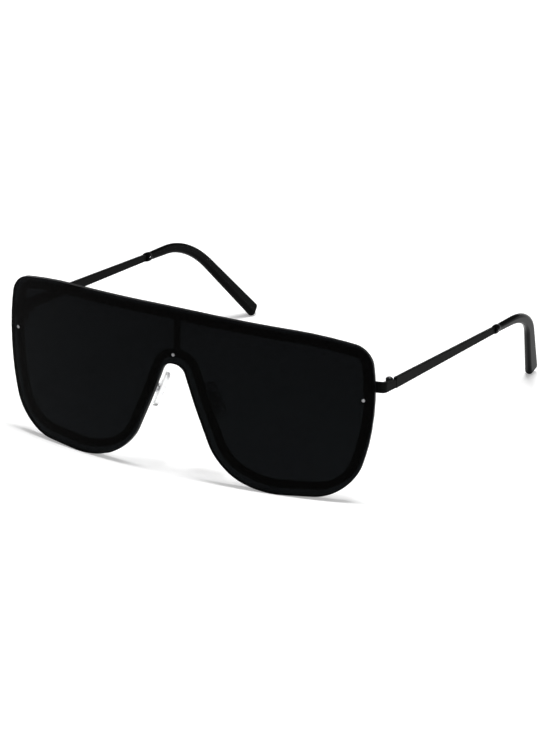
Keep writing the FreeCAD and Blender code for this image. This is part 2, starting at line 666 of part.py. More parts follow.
lens_outline = outline("lens_outline", lens_corners(), UPRIGHT)
make_lens()
make_rim()
make_lens_screws()
make_end_piece()
make_hinge()
make_arm()
make_tip()
make_pad_arm()
make_pad_box()
make_nose_pad()
doc.recompute()

for thing in doc.Objects:
    if "Invalid" in thing.State or "Error" in thing.State:
        raise RuntimeError(f"{thing.Label} did not build: {thing.State}")
for thing in nodes:
    if thing.Shape.isNull() or not thing.Shape.isValid() or not thing.Shape.Solids:
        raise RuntimeError(f"{thing.Label} has no sound solid")

os.makedirs("parts", exist_ok=True)
for thing in nodes:
    thing.Shape.exportStep(f"parts/{thing.Label}.step")
    box = thing.Shape.BoundBox
    print(f"{thing.Label}: {len(thing.Shape.Solids)} solid, {thing.Shape.Volume:.2f} mm3, "
          f"X {box.XMin:.2f} to {box.XMax:.2f}, Y {box.YMin:.2f} to {box.YMax:.2f}, "
          f"Z {box.ZMin:.2f} to {box.ZMax:.2f}")
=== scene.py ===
# %% [markdown]
# Shield sunglasses, dressed for a studio picture.
#
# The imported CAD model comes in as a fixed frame: every piece already stands in its true place, in metres,
# with X to the wearer's left, Y towards the ears and Z up. This lesson adds what a CAD solid lacks: soft
# edges, smooth bends, slotted screws, clear pads and finishes that answer to light.

# %% Load the frame
import math

import bmesh
import bpy
from mathutils import Matrix, Vector


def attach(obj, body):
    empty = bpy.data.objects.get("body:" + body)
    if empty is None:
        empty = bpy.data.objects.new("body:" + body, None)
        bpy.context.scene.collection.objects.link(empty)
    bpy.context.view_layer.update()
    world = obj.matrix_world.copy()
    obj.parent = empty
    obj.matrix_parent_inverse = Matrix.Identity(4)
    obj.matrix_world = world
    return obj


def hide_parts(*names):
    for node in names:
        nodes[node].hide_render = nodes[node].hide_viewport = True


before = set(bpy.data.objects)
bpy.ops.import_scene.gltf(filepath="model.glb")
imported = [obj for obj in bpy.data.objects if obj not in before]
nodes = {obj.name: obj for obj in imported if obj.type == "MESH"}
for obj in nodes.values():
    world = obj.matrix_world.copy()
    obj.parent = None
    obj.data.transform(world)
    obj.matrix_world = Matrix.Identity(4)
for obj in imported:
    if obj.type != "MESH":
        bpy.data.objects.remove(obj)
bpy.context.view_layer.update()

scene = bpy.context.scene
scene.view_settings.view_transform = "Standard"
MM = 0.001

# %% [markdown]
# The camera. The picture was taken from far away with a long lens: the near and the far temple are almost
# parallel. So the camera stands two and a half metres off, to the wearer's left of the middle and a little
# above, and looks at a point on the front. It could be aimed by a constraint, but that would leave out the
# picture's small roll. A camera's own axes are the columns of its matrix, so the roll is a turn of the
# first two.

# %% Camera
AZIMUTH = math.radians(31.879)
ELEVATION = math.radians(21.211)
ROLL = math.radians(-0.624)
DISTANCE = 2.5266
TARGET = Vector((41.3, -73.16, 47.39)) * MM
PHOTO_LONG_SIDE = 733
FOCAL_PIXELS = 7641.5
SENSOR_WIDTH = 36

level_reach = math.cos(ELEVATION)
aside, ahead = math.sin(AZIMUTH) * level_reach, math.cos(AZIMUTH) * level_reach
toward_camera = Vector((aside, -ahead, math.sin(ELEVATION)))
level_right = (-toward_camera).cross(Vector((0, 0, 1))).normalized()
level_up = level_right.cross(-toward_camera)
right = level_right * math.cos(ROLL) + level_up * math.sin(ROLL)
up = level_up * math.cos(ROLL) - level_right * math.sin(ROLL)

camera_data = bpy.data.cameras.new("studio_camera")
camera_data.sensor_width = SENSOR_WIDTH
camera_data.lens = FOCAL_PIXELS / PHOTO_LONG_SIDE * SENSOR_WIDTH
camera = bpy.data.objects.new("studio_camera", camera_data)
scene.collection.objects.link(camera)
turn = Matrix((right, up, toward_camera)).transposed().to_4x4()
camera.matrix_world = Matrix.Translation(TARGET + toward_camera * DISTANCE) @ turn
scene.camera = camera
camera_place = [round(v, 3) for v in camera.matrix_world.translation]
print("camera at", camera_place, "lens", round(camera_data.lens, 1))

# %% [markdown]
# The floor. The sunglasses stand on pure white, with only thin shadows where they touch down. A studio gets
# this from a sheet of white paper. A flat plane would end in a horizon, so the floor is a profile that is
# spun round the upright axis, and its edge turns up far off.

# %% The round sheet of the floor
SHEET_RADIUS, SHEET_TURN, SHEET_HEIGHT = 4.0, 0.4, 0.85
TURN_STEPS, SPIN_STEPS = 8, 64


def make_sheet():
    """A disc whose edge turns up, as a profile that is spun round the upright axis."""
    flat = SHEET_RADIUS - SHEET_TURN
    profile = [(0, 0)]
    for i in range(TURN_STEPS + 1):
        angle = math.radians(90) * i / TURN_STEPS
        profile.append((flat + SHEET_TURN * math.sin(angle), SHEET_TURN * (1 - math.cos(angle))))
    profile.append((SHEET_RADIUS, SHEET_HEIGHT))
    bm = bmesh.new()
    points = [bm.verts.new((reach, 0, height)) for reach, height in profile]
    edges = [bm.edges.new(pair) for pair in zip(points, points[1:])]
    bmesh.ops.spin(bm, geom=points + edges, axis=(0, 0, 1), angle=math.tau, steps=SPIN_STEPS, use_merge=True)
    bmesh.ops.remove_doubles(bm, verts=bm.verts, dist=0.1 * MM)
    bmesh.ops.recalc_face_normals(bm, faces=bm.faces)
    mesh = bpy.data.meshes.new("white_floor")
    bm.to_mesh(mesh)
    bm.free()
    return mesh


floor_sheet = make_sheet()
print("floor faces:", len(floor_sheet.polygons))

# %% [markdown]
# The paper. Light alone would have to be too strong to make it white all over. So it also glows, but only
# for the camera and for anything glossy or clear: a little near the middle, where the shadows have to stay
# in it, and more towards its edge, where less light falls. The Light Path node tells these rays from the
# rays that only light things.

# %% White paper
PAPER_WHITE, PAPER_ROUGHNESS = 0.9, 0.9
GLOW_START, GLOW_END = 0.4, 1.6
NEAR_GLOW, FAR_GLOW = 0.3, 0.75


def seen_directly(tree):
    """1 for rays of the camera and of glossy or clear surfaces, and 0 for rays that only light things."""
    path = tree.nodes.new("ShaderNodeLightPath")
    most = path.outputs["Is Camera Ray"]
    for name in ("Is Glossy Ray", "Is Transmission Ray"):
        larger = tree.nodes.new("ShaderNodeMath")
        larger.operation = "MAXIMUM"
        tree.links.new(most, larger.inputs[0])
        tree.links.new(path.outputs[name], larger.inputs[1])
        most = larger.outputs[0]
    return most


def make_paper():
    paper = bpy.data.materials.new("white_paper")
    paper.use_nodes = True
    tree = paper.node_tree
    sheet = tree.nodes["Principled BSDF"]
    sheet.inputs["Base Color"].default_value = (PAPER_WHITE, PAPER_WHITE, PAPER_WHITE, 1)
    sheet.inputs["Roughness"].default_value = PAPER_ROUGHNESS
    sheet.inputs["Specular IOR Level"].default_value = 0
    sheet.inputs["Emission Color"].default_value = (1, 1, 1, 1)
    reach = tree.nodes.new("ShaderNodeVectorMath")
    reach.operation = "LENGTH"
    fade = tree.nodes.new("ShaderNodeMapRange")
    limits = {"From Min": GLOW_START, "From Max": GLOW_END, "To Min": NEAR_GLOW, "To Max": FAR_GLOW}
    for label, value in limits.items():
        fade.inputs[label].default_value = value
    glow = tree.nodes.new("ShaderNodeMath")
    glow.operation = "MULTIPLY"
    tree.links.new(tree.nodes.new("ShaderNodeTexCoord").outputs["Object"], reach.inputs[0])
    tree.links.new(reach.outputs["Value"], fade.inputs["Value"])
    tree.links.new(fade.outputs["Result"], glow.inputs[0])
    tree.links.new(seen_directly(tree), glow.inputs[1])
    tree.links.new(glow.outputs[0], sheet.inputs["Emission Strength"])
    return paper


def make_floor(mesh):
    mesh.materials.append(make_paper())
    floor = bpy.data.objects.new("white_floor", mesh)
    scene.collection.objects.link(floor)
    return floor


white_floor = make_floor(floor_sheet)
print("floor in m:", [round(side, 2) for side in white_floor.dimensions])

# %% [markdown]
# The light. A dim white room fills all shadows a little. Small lamps would draw hard shadows, so both lamps
# are broad and soft. The one overhead is a wide strip that lies along the front: it draws a thin shadow
# under the lens, and blurs those of the arms until they are gone. A weaker one in front fills the faces
# that stand upright.

# %% Room and lamps
ROOM_LIGHT = 0.2


def make_world():
    world = bpy.data.worlds.new("dim_room")
    scene.world = world
    world.use_nodes = True
    background = world.node_tree.nodes["Background"]
    background.inputs["Color"].default_value = (1, 1, 1, 1)
    background.inputs["Strength"].default_value = ROOM_LIGHT


def make_lamp(name, place, aim, depth, width, power):
    """A soft lamp in metres and watts. Its width runs the way that it leans, and its depth across that."""
    data = bpy.data.lights.new(name, "AREA")
    data.shape = "RECTANGLE"
    data.size = depth
    data.size_y = width
    data.energy = power
    lamp = bpy.data.objects.new(name, data)
    scene.collection.objects.link(lamp)
    lamp.location = place
    lamp.rotation_euler = (Vector(aim) - Vector(place)).to_track_quat("-Z", "Y").to_euler()


make_world()
make_lamp("overhead_softbox", place=(0.3, 0.04, 2.9), aim=(0, 0.04, 0), depth=0.6, width=1.8, power=80)
make_lamp("side_softbox", place=(1.2, -0.8, 0.55), aim=(0, 0, 0.03), depth=0.7, width=0.7, power=4)

# %% [markdown]
# Shared effects. No real surface is perfectly even: paint has a fine grain, polished plastic carries faint
# hazy marks from fingers, and a colour drifts. They could be painted on flat pictures that are wrapped
# round each piece, but noise needs no wrapping and shows no seam. So each effect is a node group with named
# inputs, which is built once and placed in every finish that shows it.

# %% Helpers for node groups
VECTOR, NUMBER, COLOUR = "NodeSocketVector", "NodeSocketFloat", "NodeSocketColor"


def new_group(name, ins, outs):
    group = bpy.data.node_groups.new(name, "ShaderNodeTree")
    for label, kind, value in ins:
        socket = group.interface.new_socket(label, in_out="INPUT", socket_type=kind)
        if value is not None:
            socket.default_value = value
    for label, kind in outs:
        group.interface.new_socket(label, in_out="OUTPUT", socket_type=kind)
    return group, group.nodes.new("NodeGroupInput"), group.nodes.new("NodeGroupOutput")


def scaled_noise(group, entry, detail):
    noise = group.nodes.new("ShaderNodeTexNoise")
    noise.inputs["Detail"].default_value = detail
    for label in ("Vector", "Scale"):
        group.links.new(entry.outputs[label], noise.inputs[label])
    return noise


def spread_noise(group, entry, noise, low, high, contrast):
    """Noise between two values, sharpened by a contrast that narrows what it reads."""
    spread = group.nodes.new("ShaderNodeMapRange")
    spread.inputs["From Min"].default_value = 0.5 - contrast
    spread.inputs["From Max"].default_value = 0.5 + contrast
    group.links.new(noise.outputs["Fac"], spread.inputs["Value"])
    group.links.new(entry.outputs[low], spread.inputs["To Min"])
    group.links.new(entry.outputs[high], spread.inputs["To Max"])
    return spread.outputs["Result"]


print("sockets:", VECTOR, NUMBER, COLOUR)

# %% [markdown]
# The three groups. All are noise, at different sizes: fine for grain, large and blotchy for finger marks,
# and soft for a colour between two tones. A group only hands out values that change over the surface, and a
# finish sets the rest on its shader.

# %% Grain, finger marks and colour
def make_fine_grain():
    ins = [("Vector", VECTOR, None), ("Scale", NUMBER, 2500.0),
           ("Low", NUMBER, 0.3), ("High", NUMBER, 0.4)]
    group, entry, leave = new_group("fine_grain", ins, [("Value", NUMBER), ("Height", NUMBER)])
    noise = scaled_noise(group, entry, detail=3)
    value = spread_noise(group, entry, noise, "Low", "High", contrast=0.25)
    group.links.new(value, leave.inputs["Value"])
    group.links.new(noise.outputs["Fac"], leave.inputs["Height"])
    return group


def make_finger_marks():
    ins = [("Vector", VECTOR, None), ("Scale", NUMBER, 60.0),
           ("Clean", NUMBER, 0.1), ("Marked", NUMBER, 0.2)]
    group, entry, leave = new_group("finger_marks", ins, [("Value", NUMBER)])
    noise = scaled_noise(group, entry, detail=6)
    value = spread_noise(group, entry, noise, "Clean", "Marked", contrast=0.2)
    group.links.new(value, leave.inputs["Value"])
    return group


def make_shaded_colour():
    """A colour that drifts between two close tones, as paint and tint do."""
    ins = [("Vector", VECTOR, None), ("Scale", NUMBER, 40.0),
           ("One", COLOUR, None), ("Other", COLOUR, None)]
    group, entry, leave = new_group("shaded_colour", ins, [("Color", COLOUR)])
    noise = scaled_noise(group, entry, detail=4)
    blend = group.nodes.new("ShaderNodeMix")
    blend.data_type = "RGBA"
    group.links.new(noise.outputs["Fac"], blend.inputs["Factor"])
    group.links.new(entry.outputs["One"], blend.inputs["A"])
    group.links.new(entry.outputs["Other"], blend.inputs["B"])
    group.links.new(blend.outputs["Result"], leave.inputs["Color"])
    return group


fine_grain = make_fine_grain()
finger_marks = make_finger_marks()
shaded_colour = make_shaded_colour()
print("groups:", [g.name for g in bpy.data.node_groups])

# %% [markdown]
# Finishes. A material starts from Blender's Principled shader. What is even all over is set on its own
# sockets, and what varies comes from the groups above, read in Object coordinates: every piece stands at
# the origin with its place in its mesh, so these are places on the real thing, in metres, and never slide.
# Most finishes ask for the same few links, so helpers make them.

# %% Helpers for finishes
GRAIN_DEPTH = 0.04 * MM


def new_finish(name, **plain):
    """A material, its shader with the plain values set, and the Object coordinates."""
    material = bpy.data.materials.new(name)
    material.use_nodes = True
    tree = material.node_tree
    shader = tree.nodes["Principled BSDF"]
    for label, value in plain.items():
        shader.inputs[label.replace("_", " ")].default_value = value
    where = tree.nodes.new("ShaderNodeTexCoord").outputs["Object"]
    return material, tree, shader, where


def place_group(tree, group, where, **values):
    node = tree.nodes.new("ShaderNodeGroup")
    node.node_tree = group
    tree.links.new(where, node.inputs["Vector"])
    for label, value in values.items():
        node.inputs[label].default_value = value
    return node


def add_tone(tree, shader, where, scale, one, other):
    """A base colour that drifts between two tones."""
    tone = place_group(tree, shaded_colour, where, Scale=scale, One=(*one, 1), Other=(*other, 1))
    tree.links.new(tone.outputs["Color"], shader.inputs["Base Color"])


def add_roughness(tree, shader, where, group, **values):
    """A roughness from one of the groups, which is handed back for its other outputs."""
    node = place_group(tree, group, where, **values)
    tree.links.new(node.outputs["Value"], shader.inputs["Roughness"])
    return node


def add_bump(tree, shader, height, strength, distance=GRAIN_DEPTH):
    bump = tree.nodes.new("ShaderNodeBump")
    bump.inputs["Strength"].default_value = strength
    bump.inputs["Distance"].default_value = distance
    tree.links.new(height, bump.inputs["Height"])
    tree.links.new(bump.outputs["Normal"], shader.inputs["Normal"])


print("bump distance of the grain in mm:", round(GRAIN_DEPTH / MM, 3))

# %% [markdown]
# The lens is one dark grey sheet of polycarbonate. Plain black plastic would look much the same from far
# away, but here the rim behind has to show through as a darker band. So this is a clear shader with a
# nearly black tint. Towards its foot the colour is a little lighter, and that is a painted reflection of
# the white floor. Its mirror shine is kept very low, as on a coated lens: it shows what lies behind it and
# hardly anything on it. The polished edge is black, because light that enters a tinted sheet edgewise has
# a long way to go.

# %% Tinted lens and its polished edge
PAINTED_REFLECTION_HEIGHT = 0.058
# The colour at the foot is the tint with a painted reflection of the white floor, and the top's is the plain
# tint.
FOOT_TINT_AND_PAINTED_REFLECTION, TOP_TINT = (0.0028, 0.0034, 0.0039, 1), (0.0017, 0.0021, 0.0024, 1)


def make_lens_tint():
    clear = {"Transmission_Weight": 1.0, "IOR": 1.08, "Metallic": 0.0}
    material, tree, shader, where = new_finish("smoke_grey_lens", **clear)
    # The foot is made lighter than the top: a painted reflection of the floor, which fades out with height.
    split = tree.nodes.new("ShaderNodeSeparateXYZ")
    height = tree.nodes.new("ShaderNodeMapRange")
    height.inputs["From Max"].default_value = PAINTED_REFLECTION_HEIGHT
    painted_reflection_ramp = tree.nodes.new("ShaderNodeMix")
    painted_reflection_ramp.data_type = "RGBA"
    painted_reflection_ramp.inputs["A"].default_value = FOOT_TINT_AND_PAINTED_REFLECTION
    painted_reflection_ramp.inputs["B"].default_value = TOP_TINT
    tree.links.new(where, split.inputs["Vector"])
    tree.links.new(split.outputs["Z"], height.inputs["Value"])
    tree.links.new(height.outputs["Result"], painted_reflection_ramp.inputs["Factor"])
    tree.links.new(painted_reflection_ramp.outputs["Result"], shader.inputs["Base Color"])
    add_roughness(tree, shader, where, finger_marks, Scale=45.0, Clean=0.01, Marked=0.06)
    return material


def make_lens_edge():
    material, tree, shader, where = new_finish("lens_edge_black", Specular_IOR_Level=0.03)
    add_tone(tree, shader, where, scale=300.0, one=(0.0008, 0.0008, 0.001), other=(0.0016, 0.0017, 0.0019))
    add_roughness(tree, shader, where, fine_grain, Scale=1800.0, Low=0.3, High=0.42)
    return material


lens_tint = make_lens_tint()
lens_edge_black = make_lens_edge()
print("lens finishes:", lens_tint.name, lens_edge_black.name)

# %% [markdown]
# The other finishes. The metal is painted a satin black with a fine grain, and the ear tips are moulded in
# glossy black plastic. Each could be one flat black, but two close tones and an uneven roughness keep dark
# faces from looking like holes. Steel is turned bright for the pads' small parts, dull for the screws of
# the lens and dark with oil in the hinges, so one function makes all three. The pads are clear silicone
# that hides itself against white.

# %% Painted metal, plastic, steel and silicone
def make_black_metal():
    material, tree, shader, where = new_finish("satin_black_metal", Specular_IOR_Level=0.02)
    add_tone(tree, shader, where, scale=120.0, one=(0.0026, 0.0028, 0.0028), other=(0.0044, 0.0047, 0.0046))
    grain = add_roughness(tree, shader, where, fine_grain, Scale=3200.0, Low=0.34, High=0.5)
    add_bump(tree, shader, grain.outputs["Height"], strength=0.12)
    return material


def make_tip_plastic():
    material, tree, shader, where = new_finish("glossy_black_plastic", Specular_IOR_Level=0.027)
    add_tone(tree, shader, where, scale=70.0, one=(0.0014, 0.0016, 0.0016), other=(0.0024, 0.0027, 0.0026))
    add_roughness(tree, shader, where, finger_marks, Scale=140.0, Clean=0.07, Marked=0.14)
    grain = place_group(tree, fine_grain, where, Scale=900.0)
    add_bump(tree, shader, grain.outputs["Height"], strength=0.05)
    return material


def make_steel(name, dark, light):
    """Steel between two greys, with a trace of blue."""
    material, tree, shader, where = new_finish(name, Metallic=1.0)
    blue = 1.03
    one, other = (dark, dark, dark * blue), (light, light, light * blue)
    add_tone(tree, shader, where, scale=900.0, one=one, other=other)
    grain = add_roughness(tree, shader, where, fine_grain, Scale=5200.0, Low=0.2, High=0.36)
    add_bump(tree, shader, grain.outputs["Height"], strength=0.1, distance=0.03 * MM)
    return material


def make_clear_silicone():
    clear = {"Transmission_Weight": 1.0, "IOR": 1.41, "Metallic": 0.0}
    material, tree, shader, where = new_finish("clear_silicone", **clear)
    add_tone(tree, shader, where, scale=220.0, one=(0.93, 0.94, 0.94), other=(0.97, 0.975, 0.975))
    add_roughness(tree, shader, where, finger_marks, Scale=260.0, Clean=0.2, Marked=0.36)
    return material


satin_black = make_black_metal()
tip_plastic = make_tip_plastic()
turned_steel = make_steel("turned_steel", 0.42, 0.58)
dull_steel = make_steel("dull_steel", 0.22, 0.32)
oiled_steel = make_steel("oiled_steel", 0.10, 0.16)
clear_silicone = make_clear_silicone()
print("finishes:", [m.name for m in bpy.data.materials])

# %% [markdown]
# Helpers for pieces. One makes an object from a finished bmesh, shaded smooth apart from its sharp edges,
# hangs it on the body that carries it and hides the CAD node that it stands for. Another mirrors a left
# piece to the right. A Mirror modifier would keep both in one object, but the temples and the pads move
# by themselves, so each side has its own. A mirrored mesh is inside out, so its faces are turned round
# again.

# %% Helpers for pieces
SMOOTH_LIMIT = math.radians(38)


def make_piece(name, bm, finishes, body, node):
    bmesh.ops.recalc_face_normals(bm, faces=bm.faces)
    for face in bm.faces:
        face.smooth = True
    for edge in bm.edges:
        edge.smooth = len(edge.link_faces) == 2 and edge.calc_face_angle() < SMOOTH_LIMIT
    mesh = bpy.data.meshes.new(name)
    bm.to_mesh(mesh)
    bm.free()
    for material in finishes:
        mesh.materials.append(material)
    piece = bpy.data.objects.new(name, mesh)
    scene.collection.objects.link(piece)
    even = piece.modifiers.new("even_shading", "WEIGHTED_NORMAL")
    even.keep_sharp = True
    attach(piece, body)
    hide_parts(node)
    return piece


def mirrored(bm):
    """A copy of a left piece, turned over to the right side."""
    twin = bm.copy()
    bmesh.ops.scale(twin, vec=(-1, 1, 1), verts=twin.verts)
    bmesh.ops.reverse_faces(twin, faces=twin.faces)
    return twin


def make_pair(name, bm, finishes, body, node):
    """A left piece and its mirror image. A body or node that ends in left has a twin on the right."""
    twin = mirrored(bm)
    for side, shape in (("left", bm), ("right", twin)):
        side_body, side_node = body.replace("left", side), node.replace("left", side)
        make_piece(f"{name}_{side}", shape, finishes, side_body, side_node)


print("edges stay sharp from", round(math.degrees(SMOOTH_LIMIT)), "degrees")

# %% [markdown]
# Tools for shapes. A corner of a flat outline and a sharp edge of a solid are both rounded by a bevel, and
# extrude hands back a mix of points, edges and faces, of which one kind is wanted. Small shapes are drawn
# in millimetres at the origin, where their numbers are easy to read, and are carried to their place at the
# end.

# %% Tools for shapes
def only(kind, geom):
    return [part for part in geom if isinstance(part, kind)]


def corner_sides(verts):
    """Each corner of a flat face with its two sides, as they are before any corner is rounded."""
    places = [v.co.copy() for v in verts]
    for i, vert in enumerate(verts):
        yield vert, places[i - 1] - places[i], places[(i + 1) % len(places)] - places[i]


def round_corner(bm, vert, reach, steps):
    bmesh.ops.bevel(bm, geom=[vert], offset=reach, offset_type="OFFSET", segments=steps, profile=0.5,
                    affect="VERTICES", clamp_overlap=False, material=-1)


def sharp_edges(bm, degrees):
    return [e for e in bm.edges if len(e.link_faces) == 2 and e.calc_face_angle() > math.radians(degrees)]


def round_edges(bm, edges, reach, steps, clamp=True):
    bmesh.ops.bevel(bm, geom=edges, offset=reach, offset_type="OFFSET", segments=steps, profile=0.5,
                    affect="EDGES", clamp_overlap=clamp, material=-1)


def cut_across(bm, faces, point, normal):
    parts = set(faces)
    for face in faces:
        parts.update(face.edges)
        parts.update(face.verts)
    bmesh.ops.bisect_plane(bm, geom=list(parts), plane_co=point, plane_no=normal)


def carry(bm, place):
    """Takes a shape that is drawn in mm at the origin to its place, in metres."""
    bmesh.ops.scale(bm, vec=(MM, MM, MM), verts=bm.verts)
    bmesh.ops.transform(bm, matrix=place, verts=bm.verts)


print("shapes are drawn in units of", MM, "m")

# %% [markdown]
# Where things are. The front leans back by a few degrees, and the temples turn and fall a little from
# square. Each place could be typed in as a finished matrix, but nobody could read that, so it is reached by
# the same chain of moves that the CAD model uses.

# %% Places
FRONT_PLACE, LENS_TILT = (0, -73.25, 0.3485), 3.1
HINGE_PLACE = (71.0, 21.8221, 40.4244)
ARM_SPLAY, ARM_RISE, ARM_FALL = 2.35, 0.2, 1.05
TIP_PLACE, TIP_LEAN = (2.025, 70.5, 0), 21.1
PAD_PLACE, PAD_LEAN, PAD_TURN = (12.4387, 7.8, 26.861), 24, 60


def shift(across, back, height):
    return Matrix.Translation(Vector((across, back, height)) * MM)


def spin_about(axis, degrees):
    return Matrix.Rotation(math.radians(degrees), 4, axis)


stance = shift(*FRONT_PLACE) @ spin_about("X", -LENS_TILT)
hinge = stance @ shift(*HINGE_PLACE)
arm_line = hinge @ spin_about("Z", ARM_SPLAY) @ shift(0, 0, ARM_RISE) @ spin_about("X", -ARM_FALL)
tip_start = arm_line @ shift(*TIP_PLACE) @ spin_about("Y", TIP_LEAN)
pad = stance @ shift(*PAD_PLACE) @ spin_about("Y", -PAD_LEAN) @ spin_about("Z", PAD_TURN)
print("hinge axis at", [round(v / MM, 2) for v in hinge.translation])

# %% [markdown]
# The outline of the lens. A real shield is cut from a flat sheet and then bent, and so is this one. The
# outline could be traced with a curve, but a drawing has fewer numbers: straight sides between corners,
# where each corner is rounded by a bevel that takes its own share of the shorter side beside it. A screw
# hole is an inset square whose sides are divided and pulled to a circle. A Boolean could cut it, but tends
# to leave thin slivers. Upright cuts every few millimetres let the sheet bend in the next step.

# %% The flat sheet of the lens
HALF_WIDTH = 71.9
HEIGHT = 59.1
TOP_CORNER = (0, 1, 0.1828)
HALF_OUTLINE = [(0.7459, 0.9774, 0.4995), (0.9817, 0.9244, 0.3315), (1.0213, 0.5308, 0.6350),
                (0.9006, 0.0349, 0.4138), (0.4838, -0.0079, 0.3182), (0.2490, 0.0809, 0.5397),
                (0.1187, 0.4417, 0.2199), (0.049, 0.6634, 0.4125)]
DEGREES_PER_STEP = 4
SCREW_PLACES = {"left": (68.3, 36.8489), "right": (-68.3, 36.8489), "centre": (0, 42.5069)}
HOLE_RADIUS, HOLE_ROOM, HOLE_CUTS = 0.43, 1.2, 5
BEND_STEP, BEND_CUTS = 2.6, 26


def cut_outline():
    """The flat outline in mm, with rounded corners. The sheet's front is at 0 and looks along -Y."""
    corners = [TOP_CORNER] + HALF_OUTLINE + [(-x, z, share) for x, z, share in reversed(HALF_OUTLINE)]
    bm = bmesh.new()
    points = [bm.verts.new((HALF_WIDTH * x, 0, HEIGHT * z)) for x, z, _ in corners]
    bm.faces.new(points)
    for (vert, before, after), (_, _, share) in zip(corner_sides(points), corners):
        bend = 180 - math.degrees(before.angle(after))
        steps = max(3, round(bend / DEGREES_PER_STEP))
        round_corner(bm, vert, share * min(before.length, after.length), steps)
    return bm


def drill(bm, across, height):
    """A round hole in the flat sheet, from the square that the cuts leave round its middle."""
    for side in (-HOLE_ROOM, HOLE_ROOM):
        cut_across(bm, bm.faces[:], (across + side, 0, 0), (1, 0, 0))
    for side in (-HOLE_ROOM, HOLE_ROOM):
        strip = [f for f in bm.faces if abs(f.calc_center_median().x - across) < HOLE_ROOM]
        cut_across(bm, strip, (0, 0, height + side), (0, 0, 1))
    middle = Vector((across, 0, height))
    square = min(bm.faces, key=lambda f: (f.calc_center_bounds() - middle).length)
    bmesh.ops.inset_individual(bm, faces=[square], thickness=HOLE_ROOM - HOLE_RADIUS)
    bmesh.ops.subdivide_edges(bm, edges=square.edges[:], cuts=HOLE_CUTS)
    square = min(bm.faces, key=lambda f: (f.calc_center_bounds() - middle).length + f.calc_area())
    for vert in square.verts:
        vert.co = middle + (vert.co - middle).normalized() * HOLE_RADIUS
    bmesh.ops.delete(bm, geom=[square], context="FACES_ONLY")


def cut_sheet():
    bm = cut_outline()
    for across, height in SCREW_PLACES.values():
        drill(bm, across, height)
    for i in range(-BEND_CUTS, BEND_CUTS + 1):
        cut_across(bm, bm.faces[:], (BEND_STEP * (i + 0.5), 0, 0), (1, 0, 0))
    return bm


lens_sheet = cut_sheet()
print("flat lens faces:", len(lens_sheet.faces))

# %% [markdown]
# The bend of the lens. The sheet gets its thickness and is bent round an upright axis, like the rolled
# polycarbonate of a real shield. A Simple Deform modifier could bend it too, but the formula keeps the
# exact radius of the CAD lens. Then its edges are rounded, and every face that doesn't look straight
# through the sheet belongs to the polished edge, so it takes the black finish.

# %% The bent lens
LENS_RADIUS = 241.7
LENS_THICKNESS = 1.6
LENS_EDGE, LENS_EDGE_STEPS, LENS_SHARP = 0.28, 3, 50
THROUGH_LIMIT = 0.99


def bend_sheet(bm):
    back = bmesh.ops.extrude_face_region(bm, geom=bm.faces[:], use_keep_orig=True)["geom"]
    deep = set(only(bmesh.types.BMVert, back))
    for vert in bm.verts:
        angle = math.asin(vert.co.x / LENS_RADIUS)
        radius = LENS_RADIUS - (LENS_THICKNESS if vert in deep else 0)
        vert.co = (radius * math.sin(angle), LENS_RADIUS - radius * math.cos(angle), vert.co.z)
    bmesh.ops.recalc_face_normals(bm, faces=bm.faces)


def polish_edge(bm):
    round_edges(bm, sharp_edges(bm, LENS_SHARP), LENS_EDGE, LENS_EDGE_STEPS)
    for face in bm.faces:
        middle = face.calc_center_median()
        through = Vector((middle.x, middle.y - LENS_RADIUS, 0)).normalized()
        face.material_index = 1 if abs(face.normal.dot(through)) < THROUGH_LIMIT else 0


def make_lens(bm):
    bend_sheet(bm)
    polish_edge(bm)
    carry(bm, stance)
    return make_piece("tinted_shield", bm, [lens_tint, lens_edge_black], "front", "shield_lens")


lens = make_lens(lens_sheet)
print("lens faces:", len(lens.data.polygons))

# %% [markdown]
# Stamped and cut metal parts. They could be modelled anew, but their CAD shapes are right, so each gets a
# copy whose loose triangles are merged into whole faces and whose sharp edges are broken by a small bevel.
# That thin bright line along an edge is what tells the eye that a part is real metal. The right parts are
# mirror images of the left ones.

# %% Rim, end pieces, hinges, arms and the steel parts
MERGE_DISTANCE = 0.002 * MM
FLAT_LIMIT = math.radians(0.5)
METAL_SHARP, METAL_STEPS = 40, 2
RIM_EDGE = 0.14
BLACK_PARTS = [("end_piece", "front", 0.16), ("hinge_front", "front", 0.08),
               ("hinge_temple", "temple_left", 0.08), ("temple_arm", "temple_left", 0.05)]
STEEL_PARTS = [("pad_arm", "front", 0.04), ("pad_box", "front", 0.1),
               ("pad_insert", "nose_pad_left", 0.06), ("tip_pin", "temple_left", 0.08)]


def softened(node, edge):
    """A merged copy of a CAD node with its sharp edges broken, in mm of bevel."""
    bm = bmesh.new()
    bm.from_mesh(nodes[node].data)
    bmesh.ops.remove_doubles(bm, verts=bm.verts, dist=MERGE_DISTANCE)
    bmesh.ops.dissolve_limit(bm, angle_limit=FLAT_LIMIT, verts=bm.verts, edges=bm.edges)
    round_edges(bm, sharp_edges(bm, METAL_SHARP), edge * MM, METAL_STEPS, clamp=False)
    for face in bm.faces:
        face.material_index = 0
    return bm


def soften_parts(parts, finish):
    for part, body, edge in parts:
        node = f"{part}_left"
        make_pair(f"soft_{part}", softened(node, edge), [finish], body, node)


make_piece("satin_rim", softened("rim_frame", RIM_EDGE), [satin_black], "front", "rim_frame")
soften_parts(BLACK_PARTS, satin_black)
soften_parts(STEEL_PARTS, turned_steel)
print("softened parts:", 1 + 2 * len(BLACK_PARTS + STEEL_PARTS))

# %% [markdown]
# The line of an ear tip. A tip starts in a swollen mouth, runs straight, bends down behind the ear and ends
# in a soft cap. So its middle line is a straight run, an arc and a drop, and the rings along it say how far
# the tip swells or draws in at each place.

